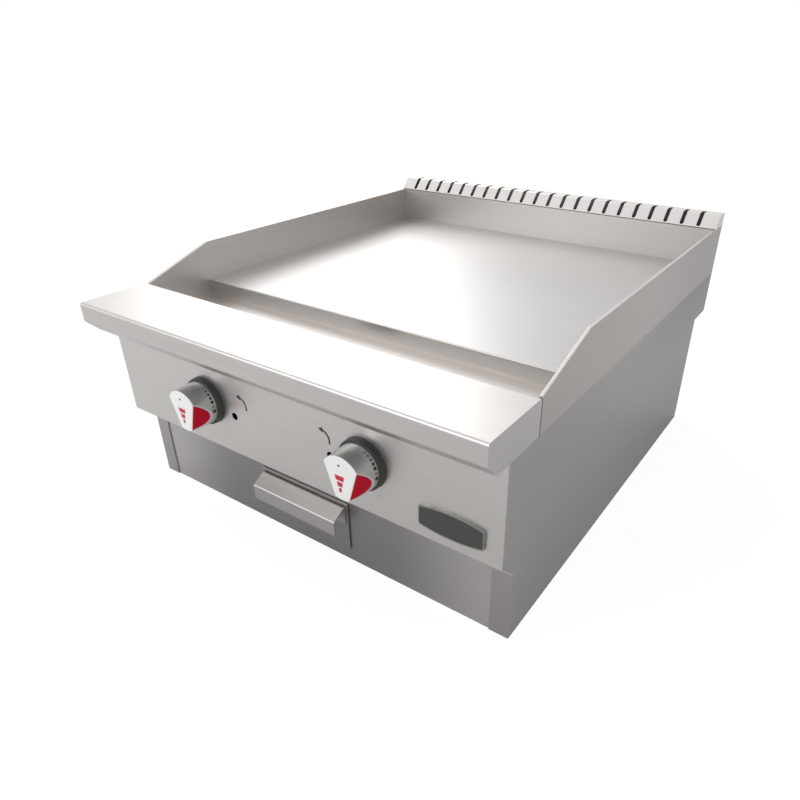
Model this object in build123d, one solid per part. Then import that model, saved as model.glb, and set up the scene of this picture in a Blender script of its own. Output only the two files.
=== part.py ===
from build123d import *
import math
import os

# A countertop gas griddle, two burners wide.
# X runs across, Y runs back from the lower front face, Z up from the surface it stands on.
# The drawing datum is the middle of the lower front edge; save() moves every piece back to
# the middle of the bounding box. All sizes are millimetres.

# --- Outer shell -------------------------------------------------------------------------
width = 610.0                # over the side panels
sheet = 1.5                  # folded sheet metal
ledge_front = -67.0          # front face of the landing ledge
ledge_rear = 33.0            # back edge of the ledge, at the trough
ledge_top = 293.0
ledge_face = 25.0            # height of the ledge's upright front face
ledge_lip = 18.0             # the lip below it folds back at 45 degrees
panel_front = -27.0          # control panel face
panel_bottom = 121.5         # the panel folds back at 45 degrees below this height
seam_height = 250.0          # side panels end here and the splash guards begin
lower_rear = 619.0           # back of the lower body
step_height = 184.5          # the flue stands out over the lower body above this height
flue_rear = 673.5
cover_lap = 30.0             # the flue cover hangs over the flue's back by this much

# --- Cooking top -------------------------------------------------------------------------
plate_top = 273.0
plate_thick = 19.0           # three-quarter inch steel
plate_front = 133.5          # front edge of the plate, which is the trough's rear wall
guard_thick = 4.3
guard_top = 328.5
guard_knee = 140.5           # the guard slopes up from the ledge to here
splash_front = 633.0         # face of the rear splash
splash_thick = 4.0
trough_floor = seam_height
trough_thick = 3.0
drain_width = 64.0
drain_depth = 44.0
drain_y = 84.0

# --- Flue --------------------------------------------------------------------------------
flue_top = 348.0
flue_bend = 651.0            # the cover slopes up to here and is level behind
slot_count = 22
slot_pitch = 26.34
slot_width = 6.2
slot_end = 668.0             # back end of the slots on the level strip
slot_margin = 3.0            # from the cover's front edge to the slots

# --- Controls and burners ----------------------------------------------------------------
knob_x = 129.5               # one valve and one burner each side of the middle
knob_z = 187.0
knob_rear_radius = 28.6
knob_face_radius = 27.3
knob_face = 37.8             # knob face ahead of the panel
knob_hollow = 21.5           # radius of the hollow round the knob's hub
bezel_radius = 32.0
bezel_depth = 8.2
stem_radius = 4.0
stem_hole = 7.0              # through the panel and the bezel
grip_offset = 16.6           # from the knob's axis to the grip flat, at the face
grip_reach = 23.0            # the flat runs out to the knob's side over this length
grip_angle = -17.6           # the flats face this far below level
light_x = 80.0               # pilot lighting holes
light_z = 178.0
light_radius = 5.0
burner_x = 152.0             # middle of each burner
burner_leg = 48.0            # each leg is this far either side of it
burner_radius = 16.0
burner_front = 190.0
burner_rear = 585.0
throat_radius = 12.0         # burner's venturi throat
cross_radius = 14.5          # tube that feeds both legs
mouth_radius = 19.0
mouth_front = 58.0
mouth_rear = 100.0
pilot_x = 96.0
pilot_z = 212.0
pipe_radius = 13.35          # three-quarter inch gas pipe
pipe_bore = 10.5
manifold_y = 5.0
manifold_z = 150.0
supply_x = 283.0             # gas supply run, between firebox and side panel
nameplate_x = 244.5          # middle of the blank nameplate
nameplate_z = 152.0

# --- Firebox and base --------------------------------------------------------------------
liner_x = 262.0
shield_height = 97.0
baffle_y = 140.0
leg_spacing_x = 540.0
leg_spacing_y = 520.0
leg_first_y = 50.0
leg_hole_radius = 5.0

# --- Grease drawer -----------------------------------------------------------------------
drawer_width = 149.0
drawer_bottom = 19.0
drawer_top = 90.0
tray_width = 132.0
tray_rear = 353.0
tray_bottom = 21.8
tray_top = 80.0
handle_width = 142.0
handle_back_height = 86.9
handle_front = -23.0
handle_front_height = 74.3
handle_bottom = 53.8

# --- Worked out from the sizes above -----------------------------------------------------
half = width / 2
inner = half - sheet
fit = 0.1                    # between pieces that only meet
ledge_bottom = ledge_top - ledge_face - ledge_lip
panel_foot = panel_bottom + panel_front        # where the 45 degree fold meets y = 0
guard_inner = half - guard_thick
between_guards = (-guard_inner + fit, guard_inner - fit)
between_liners = (-liner_x + fit, liner_x - fit)
inside_shell = (-inner + fit, inner - fit)
firebox_front = baffle_y + sheet + fit
plate_bottom = plate_top - plate_thick
cover_rear = flue_rear + sheet
screw_radius = 4.5
screw_head = 1.8             # the screw heads' height
screw_round = 1.2
middle_y = (ledge_front + cover_rear + screw_head) / 2
knob_back = panel_front - bezel_depth - 0.3
knob_front = panel_front - knob_face

os.makedirs("parts", exist_ok=True)


def save(name, shape):
    """Write one sub-part in the part's frame."""
    export_step(Pos(0, -middle_y, 0) * shape, f"parts/{name}.step")


def block(x, y, z):
    """A box between the given limits on each axis."""
    size = Box(x[1] - x[0], y[1] - y[0], z[1] - z[0])
    return Pos((x[0] + x[1]) / 2, (y[0] + y[1]) / 2, (z[0] + z[1]) / 2) * size


def prism(outline, x):
    """A flat plate with a (y, z) outline, between two x limits."""
    face = make_face(Polyline(*outline, close=True))
    return Pos(x[0], 0, 0) * extrude(Plane.YZ * face, amount=x[1] - x[0])


def lengthwise(outline, y):
    """A bar with an (x, z) outline, between two depths."""
    face = make_face(Polyline(*outline, close=True))
    return Pos(0, y[0], 0) * extrude(Plane.XZ * face, amount=-(y[1] - y[0]))


def rod(radius, start, end):
    """A straight round bar between two points."""
    axis = Vector(*end) - Vector(*start)
    bar = Cylinder(radius, axis.length, align=(Align.CENTER, Align.CENTER, Align.MIN))
    return Plane(origin=start, z_dir=axis) * bar


def cone(radius_start, radius_end, start, end):
    """A round taper between two points."""
    axis = Vector(*end) - Vector(*start)
    body = Cone(radius_start, radius_end, axis.length, align=(Align.CENTER, Align.CENTER, Align.MIN))
    return Plane(origin=start, z_dir=axis) * body


def mirrored(shape):
    """The same piece on the other side of the object."""
    return mirror(shape, about=Plane.YZ)


def both(shape):
    """A piece and its mirror image, as one group."""
    return Compound(children=[shape, mirrored(shape)])


def folded_outline(path, thickness, bend):
    """The cross-section of a folded sheet whose outer face follows path, metal on its left."""
    points = [Vector(*p) for p in path]
    ways = [(b - a).normalized() for a, b in zip(points, points[1:])]
    lefts = [Vector(-w.Y, w.X) for w in ways]
    near = [points[0] + lefts[0] * thickness]
    outer_bends = []
    inner_bends = []
    for i, corner in enumerate(points[1:-1]):
        turn = ways[i].X * ways[i + 1].Y - ways[i].Y * ways[i + 1].X
        reach = thickness / (1 + lefts[i].dot(lefts[i + 1]))
        near.append(corner + (lefts[i] + lefts[i + 1]) * reach)
        outer_bends.append(bend + thickness if turn > 0 else bend)
        inner_bends.append(bend if turn > 0 else bend + thickness)
    near.append(points[-1] + lefts[-1] * thickness)
    edges = FilletPolyline(*points, radius=outer_bends) + FilletPolyline(*near, radius=inner_bends)
    return make_face(edges + Line(points[0], near[0]) + Line(points[-1], near[-1]))


def folded(path, x, thickness=sheet, bend=1.5):
    """A folded sheet as wide as the two x limits."""
    face = folded_outline(path, thickness, bend)
    return Pos(x[0], 0, 0) * extrude(Plane.YZ * face, amount=x[1] - x[0])


# --- Shell -------------------------------------------------------------------------------

def front_ledge():
    """Landing ledge: a folded top, face and 45 degree lip with welded end caps."""
    lip_y = ledge_front + ledge_lip
    path = [
        (ledge_rear, ledge_bottom),
        (ledge_rear, ledge_top),
        (ledge_front, ledge_top),
        (ledge_front, ledge_top - ledge_face),
        (lip_y, ledge_bottom),
        (panel_front - 1, ledge_bottom),
    ]
    bend = 2.0
    shell = folded(path, (-half, half), bend=bend)
    rounds = FilletPolyline(*path, radius=bend + sheet)
    face = make_face(rounds + Line(path[-1], path[0]))
    cap = Pos(inner, 0, 0) * extrude(Plane.YZ * face, amount=sheet)
    return shell + cap + mirrored(cap)


def control_panel():
    """Front panel with the valve and pilot lighting holes, folded back underneath."""
    face = [(panel_front, ledge_bottom - fit), (panel_front, panel_bottom), (0, panel_foot)]
    panel = folded(face, (-half, half), bend=2.0)
    top_edge = ledge_bottom - fit
    across = (-inner + 1, inner - 1)
    flange_depth = 18
    top_flange = block(across, (panel_front + sheet, 0), (top_edge - sheet, top_edge))
    low_flange = block(across, (0.5, flange_depth), (panel_foot, panel_foot + sheet))
    panel += top_flange + low_flange
    for side in (-1, 1):
        for x, z, radius in ((knob_x, knob_z, stem_hole), (light_x, light_z, light_radius)):
            panel -= rod(radius, (side * x, panel_front - 5, z), (side * x, 0, z))
    return panel


def side_panel():
    """Right side panel, with a return flange on its lower front edge and the flue's overhang."""
    slant = panel_foot + sheet * math.sqrt(2)     # y + z along the inner face of the panel's fold
    end_y = sheet / math.sqrt(2)
    back_y = panel_front + sheet
    clip = 2.5
    outline = [
        (0, 0),
        (0, panel_foot),
        (end_y, slant - end_y),
        (back_y + clip, slant - back_y - clip),
        (back_y, slant - back_y + clip),
        (back_y, seam_height - fit),
        (flue_rear, seam_height - fit),
        (flue_rear, step_height),
        (lower_rear, step_height),
        (lower_rear, 0),
    ]
    flange_width = 25.5
    plate = prism(outline, (inner, half))
    flange = block((half - flange_width, half), (0, sheet), (0, panel_foot))
    panel = plate + flange
    bend = panel.edges().filter_by(Axis.Z).filter_by_position(Axis.Y, -0.1, 0.1).sort_by(Axis.X)[-1]
    return fillet(bend, 1.0)


def lower_front_panel():
    """Apron behind the side flanges, with the drawer's opening."""
    panel = block(inside_shell, (sheet, 2 * sheet), (0, panel_foot - fit))
    opening_half = tray_width / 2 + 1.5
    return panel - block((-opening_half, opening_half), (0, 10), (tray_bottom - 1.5, tray_top + 2))


def base_pan():
    """Bottom sheet with leg bolt holes and rows of combustion air slots."""
    pan = block(inside_shell, (2 * sheet + fit, lower_rear - sheet - fit), (0, sheet))
    for x, y in leg_places():
        pan -= rod(leg_hole_radius, (x, y, -1), (x, y, sheet + 1))
    slot = block((-45, 45), (-4, 4), (-1, sheet + 1))
    for side in (-1, 1):
        for row in range(8):
            pan -= Pos(side * 170, 180 + row * 45, 0) * slot
    return pan


def leg_places():
    """Where the four leg bolts go."""
    rows = (leg_first_y, leg_first_y + leg_spacing_y)
    return [(side * leg_spacing_x / 2, y) for side in (-1, 1) for y in rows]


def leg_sockets():
    """Four welded sockets over the base pan, one for each leg bolt."""
    sockets = []
    for x, y in leg_places():
        plate = block((x - 30, x + 30), (y - 30, y + 30), (sheet, sheet + 4))
        boss = rod(11, (x, y, sheet + 4), (x, y, sheet + 14))
        sockets.append(plate + boss - rod(leg_hole_radius, (x, y, 0), (x, y, 30)))
    return Compound(children=sockets)


def back_panel():
    """Back of the lower body, with the gas inlet's hole."""
    panel = block(inside_shell, (lower_rear - sheet, lower_rear), (0, step_height - fit))
    return panel - rod(16, (supply_x, lower_rear - 10, manifold_z), (supply_x, lower_rear + 10, manifold_z))


def flue_back():
    """Shelf and back of the flue, folded from one sheet."""
    path = [(lower_rear - 12, step_height), (flue_rear, step_height), (flue_rear, flue_top - 4)]
    return folded(path, inside_shell, bend=3.0) - guard_relief()


def guard_relief():
    """Room at both ends of the flue's back for the splash guards."""
    relief = block((guard_inner - fit, half), (0, cover_rear + 1), (seam_height - 1, guard_top + 1))
    return relief + mirrored(relief)


def flue_cover():
    """Slotted cover: a slope, a level strip and a back lap, closed at both ends."""
    path = [
        (cover_rear, flue_top - cover_lap),
        (cover_rear, flue_top),
        (flue_bend, flue_top),
        (splash_front + 1.0, guard_top + 1.1),
    ]
    bend = 1.5
    cover = folded(path, (-half, half), bend=bend)
    rounds = FilletPolyline(*path[1:], radius=bend + sheet)
    foot = [(splash_front + 1.0, guard_top), (cover_rear, guard_top)]
    closing = Polyline(path[-1], *foot, (cover_rear, flue_top))
    cap = Pos(inner, 0, 0) * extrude(Plane.YZ * make_face(rounds + closing), amount=sheet)
    cover += cap + mirrored(cap)
    cutter = flue_slot()
    first = -(slot_count - 1) / 2 * slot_pitch
    cuts = [Pos(first + i * slot_pitch, 0, 0) * cutter for i in range(slot_count)]
    return cover - cuts


def flue_slot():
    """One slot's cutter: it starts low on the slope and wraps over the bend, round at both ends."""
    slope = Vector(0, flue_bend - splash_front, flue_top - guard_top).normalized()
    outward = Vector(0, -slope.Z, slope.Y)
    radius = slot_width / 2
    low = Vector(0, splash_front, guard_top) + slope * (slot_margin + radius)
    reach = 4.0
    strip = [low - outward * reach, low + outward * reach, Vector(0, flue_bend - 3, flue_top + reach)]
    strip += [Vector(0, slot_end - radius, flue_top + reach), Vector(0, slot_end - radius, flue_top - reach)]
    strip.append(Vector(0, flue_bend + 2, flue_top - reach))
    cutter = prism([(p.Y, p.Z) for p in strip], (-radius, radius))
    cutter += rod(radius, tuple(low - outward * reach), tuple(low + outward * reach))
    end_y = slot_end - radius
    return cutter + rod(radius, (0, end_y, flue_top - reach), (0, end_y, flue_top + reach))


def shell_screws():
    """Pan head screws that hold the back panel and the flue cover's lap."""
    screws = []
    for x in (-285, -140, 0, 140):
        for z in (20, step_height - 20):
            screws.append(rod(screw_radius, (x, lower_rear, z), (x, lower_rear + screw_head, z)))
    for x in (-285, -95, 95, 285):
        z = flue_top - cover_lap / 2 - 3
        screws.append(rod(screw_radius, (x, cover_rear, z), (x, cover_rear + screw_head, z)))
    return Compound(children=[fillet(s.edges().sort_by(Axis.Y)[-1], screw_round) for s in screws])


# --- Cooking top -------------------------------------------------------------------------

def griddle_plate():
    """Thick polished plate with eased upper front edge."""
    plate = block(between_guards, (plate_front, splash_front - fit), (plate_bottom, plate_top))
    edge = plate.edges().filter_by(Axis.X).sort_by(Axis.Y)[:2].sort_by(Axis.Z)[-1]
    return fillet(edge, 2.0)


def splash_guard():
    """Right splash guard, welded to the plate's edge."""
    start = ledge_rear + 1.5
    rise = (guard_top - ledge_top) / (guard_knee - ledge_rear)
    outline = [
        (start, seam_height),
        (start, ledge_top + rise * (start - ledge_rear)),
        (guard_knee, guard_top - fit),
        (flue_rear, guard_top - fit),
        (flue_rear, seam_height),
    ]
    guard = prism(outline, (guard_inner, half))
    top = guard.edges().filter_by_position(Axis.Z, ledge_top - 5, guard_top + 1)
    top = top.filter_by(Axis.Z, reverse=True)
    along = top.filter_by(Axis.X, reverse=True)
    return fillet(along, 0.8)


def rear_splash():
    """Upright sheet behind the plate, which is also the flue's front wall."""
    skirt = 16               # below the plate, into the flue
    depths = (splash_front, splash_front + splash_thick)
    return block(between_guards, depths, (plate_bottom - skirt, guard_top - fit))


def grease_trough():
    """Channel between the ledge and the plate, with a drain hole in its floor."""
    floor_z = (trough_floor - trough_thick, trough_floor)
    across = between_guards
    front_y = ledge_rear + fit
    trough = block(across, (front_y, plate_front + trough_thick), floor_z)
    trough += block(across, (front_y, front_y + trough_thick), (floor_z[0], ledge_top - 6))
    trough += block(across, (plate_front, plate_front + trough_thick), (floor_z[0], plate_bottom - fit))
    return trough - drain(drain_width - 2 * sheet, drain_depth - 2 * sheet, floor_z[0] - 1, trough_floor + 1)


def drain(wide, deep, low, high):
    """A straight block down the drain's middle."""
    return block((-wide / 2, wide / 2), (drain_y - deep / 2, drain_y + deep / 2), (low, high))


def grease_chute():
    """Rectangular chute from the trough's drain to just over the tray."""
    low = tray_top + 12
    high = trough_floor - trough_thick - fit
    outside = drain(drain_width, drain_depth, low, high)
    return outside - drain(drain_width - 2 * sheet, drain_depth - 2 * sheet, low - 1, high + 1)


# --- Firebox -----------------------------------------------------------------------------

def plate_support():
    """Right angle rail that carries the plate's edge."""
    path = [
        (liner_x + sheet + fit, plate_bottom - 28),
        (liner_x + sheet + fit, plate_bottom - fit),
        (guard_inner - fit, plate_bottom - fit),
    ]
    reversed_path = path[::-1]
    face = folded_outline(reversed_path, 2.5, 2.0)
    return Pos(0, baffle_y + 3, 0) * extrude(Plane.XZ * face, amount=-(lower_rear - baffle_y - 8))


def firebox_liner():
    """Right inner wall of the firebox."""
    rear = lower_rear - 14   # clear of the flue's shelf
    return block((liner_x, liner_x + sheet), (firebox_front, rear), (shield_height, plate_bottom - fit))


def front_baffle():
    """Wall between the burners and the valves, holed for the burner throats, pilots and pipe."""
    low = shield_height
    baffle = block(between_guards, (baffle_y, baffle_y + sheet), (low, plate_bottom - fit))
    for side in (-1, 1):
        baffle -= rod(24, (side * knob_x, baffle_y - 5, knob_z), (side * knob_x, baffle_y + 5, knob_z))
        baffle -= rod(7, (side * pilot_x, baffle_y - 5, pilot_z), (side * pilot_x, baffle_y + 5, pilot_z))
    return baffle - rod(17, (supply_x, baffle_y - 5, manifold_z), (supply_x, baffle_y + 5, manifold_z))


def center_baffle():
    """Upright divider between the two heat zones."""
    depths = (firebox_front, splash_front - 40)
    return block((-sheet / 2, sheet / 2), depths, (knob_z - burner_radius, plate_bottom - fit))


def heat_shield():
    """Level shield under the burners, above the grease drawer."""
    depths = (firebox_front, lower_rear - sheet - fit)
    return block(between_liners, depths, (shield_height, shield_height + sheet))


def burner_support(y):
    """Folded cross rail under both burners."""
    top = knob_z - burner_radius
    path = [(y + 20, top), (y, top), (y, top - 22)]
    return folded(path, between_liners, thickness=2.0, bend=2.0)


# --- Gas train ---------------------------------------------------------------------------

def burner():
    """Right burner: mouth, throat and cross tube feeding two ported legs."""
    outer = burner_shape(0)
    inner_space = burner_shape(sheet)
    body = outer - inner_space
    body -= rod(8.5, (knob_x, mouth_front - 2, knob_z), (knob_x, mouth_front + 4, knob_z))
    ports = []
    for leg in (-1, 1):
        x = burner_x + leg * burner_leg
        for i in range(22):
            y = burner_front + 30 + i * 16
            ports.append(block((x - 6, x + 6), (y - 1, y + 1), (knob_z + 8, knob_z + burner_radius + 2)))
    body -= ports
    return body - air_windows(mouth_radius + 3)


def burner_shape(wall):
    """The burner's outline, drawn in by the wall thickness."""
    x = knob_x
    shape = rod(mouth_radius - wall, (x, mouth_front + wall, knob_z), (x, mouth_rear, knob_z))
    taper = ((x, mouth_rear, knob_z), (x, mouth_rear + 15, knob_z))
    shape += cone(mouth_radius - wall, throat_radius - wall, *taper)
    shape += rod(throat_radius - wall, (x, mouth_rear + 14, knob_z), (x, burner_front, knob_z))
    cross = (burner_front, knob_z)
    shape += rod(cross_radius - wall, (burner_x - burner_leg, *cross), (burner_x + burner_leg, *cross))
    for leg in (-1, 1):
        leg_x = burner_x + leg * burner_leg
        leg_start = burner_front - burner_radius - 2 + wall
        shape += rod(burner_radius - wall, (leg_x, leg_start, knob_z), (leg_x, burner_rear - wall, knob_z))
    return shape


def air_windows(reach):
    """The pair of air openings, above and below the mouth."""
    depths = (mouth_front + 12, mouth_front + 26)
    return block((knob_x - 9, knob_x + 9), depths, (knob_z - reach, knob_z + reach))


def air_shutter():
    """Right air shutter: a sleeve that turns on the burner's mouth to open or close its windows."""
    running = 0.06
    start = (knob_x, mouth_front + 7, knob_z)
    end = (knob_x, mouth_front + 31, knob_z)
    sleeve = rod(mouth_radius + running + sheet, start, end) - rod(mouth_radius + running, start, end)
    return sleeve - air_windows(mouth_radius + 4)


def valve_body():
    """Right gas valve, with its stem bore, its outlet and its inlet on the manifold."""
    x, z = knob_x, knob_z
    body = rod(13, (x, -12, z), (x, 22, z))
    body += rod(9, (x, -20, z), (x, -12, z)) + rod(7, (x, 22, z), (x, 36, z))
    body += block((x - 11, x + 11), (-9, 19), (manifold_z, z))
    body -= rod(stem_radius + 0.05, (x, -21, z), (x, 12, z))
    return body - rod(pipe_radius, (x - 30, manifold_y, manifold_z), (x + 30, manifold_y, manifold_z))


def orifice_hood():
    """Right hexagonal orifice hood on the valve's outlet."""
    start = 36.0
    facing = Plane(origin=(knob_x, start, knob_z), z_dir=(0, 1, 0))
    hexagon = extrude(facing * RegularPolygon(8, 6), amount=12)
    hood = hexagon + cone(6.5, 3.5, (knob_x, start + 12, knob_z), (knob_x, start + 18, knob_z))
    return hood - rod(1.2, (knob_x, start + 6, knob_z), (knob_x, start + 20, knob_z))


def gas_manifold():
    """Cross pipe that feeds both valves, capped on the left."""
    start = (-215, manifold_y, manifold_z)
    end = (supply_x - 30, manifold_y, manifold_z)
    pipe = rod(pipe_radius, start, end) - rod(pipe_bore, (-210, manifold_y, manifold_z), end)
    cap = rod(17, (-235, manifold_y, manifold_z), (-212, manifold_y, manifold_z))
    return pipe + cap


def pipe_elbow():
    """Elbow that turns the manifold back towards the inlet."""
    turn = 30.0
    corner = (supply_x - turn, manifold_y + turn, manifold_z)
    start = Plane(origin=(supply_x - turn, manifold_y, manifold_z), z_dir=(1, 0, 0))
    section = start * (Circle(17) - Circle(pipe_bore))
    return revolve(section, axis=Axis(corner, (0, 0, 1)), revolution_arc=90)


def gas_supply_pipe():
    """Run of pipe from the elbow to the inlet coupling."""
    start = (supply_x, manifold_y + 30, manifold_z)
    end = (supply_x, lower_rear - 49, manifold_z)
    return rod(pipe_radius, start, end) - rod(pipe_bore, start, end)


def pipe_coupling():
    """Coupling between the supply run and the inlet nipple."""
    start = (supply_x, lower_rear - 67, manifold_z)
    end = (supply_x, lower_rear - 31, manifold_z)
    return rod(17.5, start, end) - gas_supply_pipe() - gas_inlet_nipple() - rod(pipe_bore, start, end)


def gas_inlet_nipple():
    """Threaded nipple that the installer's gas line screws onto."""
    start = (supply_x, lower_rear - 49 + fit, manifold_z)
    shoulder = (supply_x, lower_rear + 2, manifold_z)
    end = (supply_x, lower_rear + 40, manifold_z)
    nipple = rod(pipe_radius - 0.3, start, shoulder) + rod(pipe_radius, shoulder, end)
    return nipple - rod(pipe_bore, start, end)


def manifold_bracket():
    """Right bracket from the panel's lower flange up to the manifold."""
    x = 190.0
    low = panel_foot + sheet
    foot = block((x - 14, x + 14), (1, 17), (low, low + 2))
    web = block((x - 14, x + 14), (4, 6), (low, manifold_z))
    pipe = rod(pipe_radius, (x - 20, manifold_y, manifold_z), (x + 20, manifold_y, manifold_z))
    return foot + web - pipe


def bracket_screws():
    """Two screws in each manifold bracket's foot."""
    low = panel_foot + sheet + 2
    places = [(side * (190 + offset), 12) for side in (-1, 1) for offset in (-9, 9)]
    screws = [rod(3.5, (x, y, low), (x, y, low + 2.4)) for x, y in places]
    return Compound(children=screws)


def pilot_valve():
    """Right pilot adjusting valve, standing on the manifold."""
    low = manifold_z + pipe_radius - 1
    hexagon = extrude(Plane(origin=(pilot_x, manifold_y, low)) * RegularPolygon(6.5, 6), amount=14)
    body = hexagon + rod(4.5, (pilot_x, manifold_y, low + 14), (pilot_x, manifold_y, low + 20))
    ends = [(x, manifold_y, manifold_z) for x in (pilot_x - 10, pilot_x + 10)]
    return body - rod(pipe_radius, *ends)


def pilot_tube():
    """Right pilot tube: up from its valve and back through the baffle."""
    low = manifold_z + pipe_radius + 19
    corners = [(pilot_x, manifold_y, low), (pilot_x, manifold_y, pilot_z), (pilot_x, 158, pilot_z)]
    path = FilletPolyline(*corners, radius=14)
    return sweep(Plane(origin=path @ 0, z_dir=path % 0) * Circle(3.2), path=path)


def pilot_burner():
    """Right pilot burner, with the hood that throws its flame at the burner."""
    body = rod(5.5, (pilot_x, 158, pilot_z), (pilot_x, 172, pilot_z))
    hood = rod(7, (pilot_x, 168, pilot_z), (pilot_x, 182, pilot_z))
    hood -= rod(5.5, (pilot_x, 172, pilot_z), (pilot_x, 183, pilot_z))
    window = block((pilot_x - 8, pilot_x + 8), (174, 183), (pilot_z, pilot_z + 9))
    return body + hood - window


# --- Knobs -------------------------------------------------------------------------------

def knob_taper(inset, front, back):
    """The knob's outer taper, drawn in by inset, between two depths."""
    slope = (knob_rear_radius - knob_face_radius) / (knob_back - knob_front)
    radius_front = knob_face_radius - inset + slope * (front - knob_front)
    radius_back = knob_face_radius - inset + slope * (back - knob_front)
    return cone(radius_back, radius_front, (knob_x, back, knob_z), (knob_x, front, knob_z))


def grip_slab(side, low, high):
    """A slab parallel to one grip flat, between two heights over it."""
    angle = math.radians(grip_angle)
    away = Vector(side * math.cos(angle), 0, math.sin(angle))
    slope = (knob_rear_radius - grip_offset) / grip_reach
    origin = Vector(knob_x, knob_front, knob_z) + away * grip_offset
    flat = Plane(origin=origin, z_dir=away - Vector(0, slope, 0))
    slab = Box(120, 120, high - low, align=(Align.CENTER, Align.CENTER, Align.MIN))
    return flat * Pos(0, 0, low) * slab


def knob_grips():
    """Right knob's two soft grips, each set in a pocket behind its flat."""
    grips = []
    for side in (-1, 1):
        grips.append(knob_taper(1.4, knob_front + 1.0, knob_back - 2) & grip_slab(side, -3.0, 0.4))
    return Compound(children=grips)


def knob():
    """Right knob: a tapered body with two flats, grip pockets and a hub over the stem."""
    body = knob_taper(0, knob_front, knob_back)
    for side in (-1, 1):
        body -= grip_slab(side, 0, 60)
    rim = body.edges().filter_by_position(Axis.Y, knob_front - 0.01, knob_front + 0.01)
    body = fillet(rim, 0.7)
    for side in (-1, 1):
        body -= knob_taper(1.4, knob_front + 1.0, knob_back - 2) & grip_slab(side, -3.0, 0.4)
    hollow = rod(knob_hollow, (knob_x, knob_back + 1, knob_z), (knob_x, knob_back - 9, knob_z))
    hollow -= rod(9, (knob_x, knob_back + 1, knob_z), (knob_x, knob_back - 12, knob_z))
    body -= hollow
    return body - valve_stem()


def valve_stem():
    """Right valve's turning stem, with the flat that drives the knob."""
    stem = rod(stem_radius, (knob_x, 10, knob_z), (knob_x, knob_back - 18, knob_z))
    flat = block((knob_x - 10, knob_x + 10), (knob_back - 30, knob_back - 2), (knob_z + 2.4, knob_z + 10))
    return stem - flat


def knob_bezel():
    """Right dark bezel ring between the knob and the panel."""
    ends = [(knob_x, y, knob_z) for y in (panel_front, panel_front - bezel_depth)]
    ring = cone(bezel_radius, bezel_radius - 0.8, *ends)
    ring = fillet(ring.edges().sort_by(Axis.Y)[0], 1.0)
    return ring - rod(stem_hole, (knob_x, 0, knob_z), (knob_x, panel_front - 30, knob_z))


def barrel_plate(half_width, half_height, bulge, y):
    """A plate with bowed long edges, standing on the control panel between two depths."""
    top = ThreePointArc((-half_width, half_height), (0, half_height + bulge), (half_width, half_height))
    bottom = ThreePointArc((half_width, -half_height), (0, -half_height - bulge), (-half_width, -half_height))
    right = Line((half_width, half_height), (half_width, -half_height))
    left = Line((-half_width, -half_height), (-half_width, half_height))
    face = make_face(top + right + bottom + left)
    face = fillet(face.vertices(), 3)
    place = Plane(origin=(nameplate_x, y[0], nameplate_z), x_dir=(1, 0, 0), z_dir=(0, 1, 0))
    return extrude(place * face, amount=y[1] - y[0])


def nameplate():
    """Blank plate on the panel, with a recess inside its rim."""
    rim = barrel_plate(40.5, 12.2, 4.2, (panel_front - 3, panel_front))
    return rim - barrel_plate(39, 10.7, 4.2, (panel_front - 4, panel_front - 2))


def nameplate_face():
    """Dark blank infill in the plate's recess."""
    return barrel_plate(39, 10.7, 4.2, (panel_front - 2.7, panel_front - 2))


# --- Grease drawer -----------------------------------------------------------------------

def drawer_front():
    """Drawer's front, lapping over the opening."""
    front = block((-drawer_width / 2, drawer_width / 2), (-0.9, 1.1), (drawer_bottom, drawer_top))
    return fillet(front.edges().filter_by_position(Axis.Y, -1, -0.8), 0.6)


def drawer_handle():
    """Folded pull strip, welded to the drawer's front."""
    face = -0.9
    path = [
        (face, handle_bottom + 6),
        (face, handle_back_height),
        (handle_front, handle_front_height),
        (handle_front, handle_bottom),
    ]
    return folded(path, (-handle_width / 2, handle_width / 2), bend=1.0)


def grease_tray():
    """Open tray that catches the grease."""
    half_tray = tray_width / 2
    outside = block((-half_tray, half_tray), (1.1, tray_rear), (tray_bottom, tray_top))
    wall = half_tray - sheet
    inside = block((-wall, wall), (1.1 + sheet, tray_rear - sheet), (tray_bottom + sheet, tray_top + 1))
    return outside - inside


def drawer_runner():
    """Right runner: a foot on the base pan, an upright guide and a shelf under the tray."""
    guide = tray_width / 2 + 0.4
    shelf_top = tray_bottom - 0.3
    outline = [
        (guide + 18, sheet),
        (guide + 18, 2 * sheet),
        (guide + sheet, 2 * sheet),
        (guide + sheet, 62),
        (guide, 62),
        (guide, shelf_top),
        (guide - 10, shelf_top),
        (guide - 10, shelf_top - sheet),
        (guide, shelf_top - sheet),
        (guide, sheet),
    ]
    return lengthwise(outline, (2 * sheet + fit, tray_rear + 10))


# --- All sub-parts -----------------------------------------------------------------------

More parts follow.
